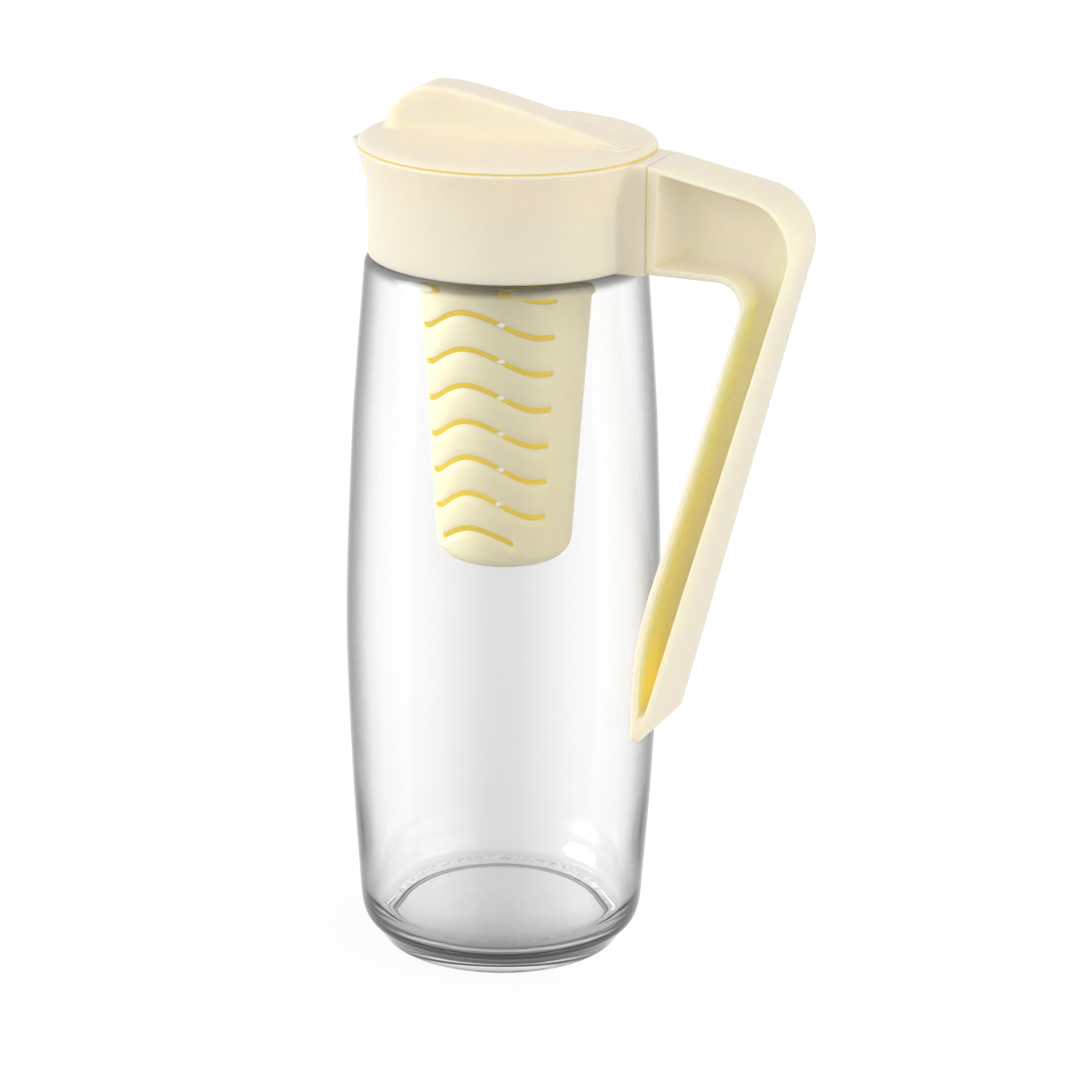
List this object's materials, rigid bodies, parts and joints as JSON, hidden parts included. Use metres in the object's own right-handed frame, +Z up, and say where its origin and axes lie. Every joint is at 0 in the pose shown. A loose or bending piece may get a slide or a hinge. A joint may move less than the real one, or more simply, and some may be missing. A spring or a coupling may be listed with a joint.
{
  "type": "water jug",
  "caption": "Barrel-shaped glass jug with a screw-on plastic collar, pouring spout, side handle, turning lid with a grip fin, and a hanging slotted infuser cup.",
  "frame": {"origin": "on the surface that the jug stands on, midway between the spout's tip and the outside of the handle; the jug's own axis is 22.6 mm towards -X from it", "axes": "+Z up along the jug's axis, +X towards the handle, the spout points along -X"},
  "size_m": [0.1575, 0.1046, 0.2915],
  "materials": {
    "glass": "clear polished glass",
    "cream_plastic": "satin moulded cream plastic",
    "cup_plastic": "satin moulded pale cream plastic",
    "silicone": "soft matt silicone",
    "steel": "plain steel"
  },
  "bodies": {
    "jug": {"glass_jug": "glass"},
    "gasket": {"neck_gasket": "silicone"},
    "collar": {"collar": "cream_plastic", "handle": "cream_plastic", "handle_screw_upper": "steel", "handle_screw_lower": "steel"},
    "seal": {"lid_seal": "silicone"},
    "lid": {"lid_cap": "cream_plastic", "lid_plug": "cream_plastic"},
    "infuser": {"infuser": "cup_plastic"}
  },
  "joints": [
    {"name": "collar_rise", "type": "slide", "parent": "jug", "child": "gasket", "axis": [0, 0, 1], "range_m": [0, 0.0068]},
    {"name": "collar_turn", "type": "hinge", "parent": "gasket", "child": "collar", "pos_m": [-0.02255, 0, 0.25], "axis": [0, 0, 1], "range_deg": [0, 300]},
    {"name": "lid_lift", "type": "slide", "parent": "collar", "child": "seal", "axis": [0, 0, 1], "range_m": [0, 0.15]},
    {"name": "lid_turn", "type": "hinge", "parent": "seal", "child": "lid", "pos_m": [-0.02255, 0, 0.274], "axis": [0, 0, 1], "continuous": true},
    {"name": "infuser_twist", "type": "hinge", "parent": "lid", "child": "infuser", "pos_m": [-0.02255, 0, 0.264], "axis": [0, 0, 1], "range_deg": [0, 40]}
  ],
  "couplings": [
    {"joint": "collar_rise", "follows": "collar_turn", "m_per_rad": 0.0012732}
  ]
}
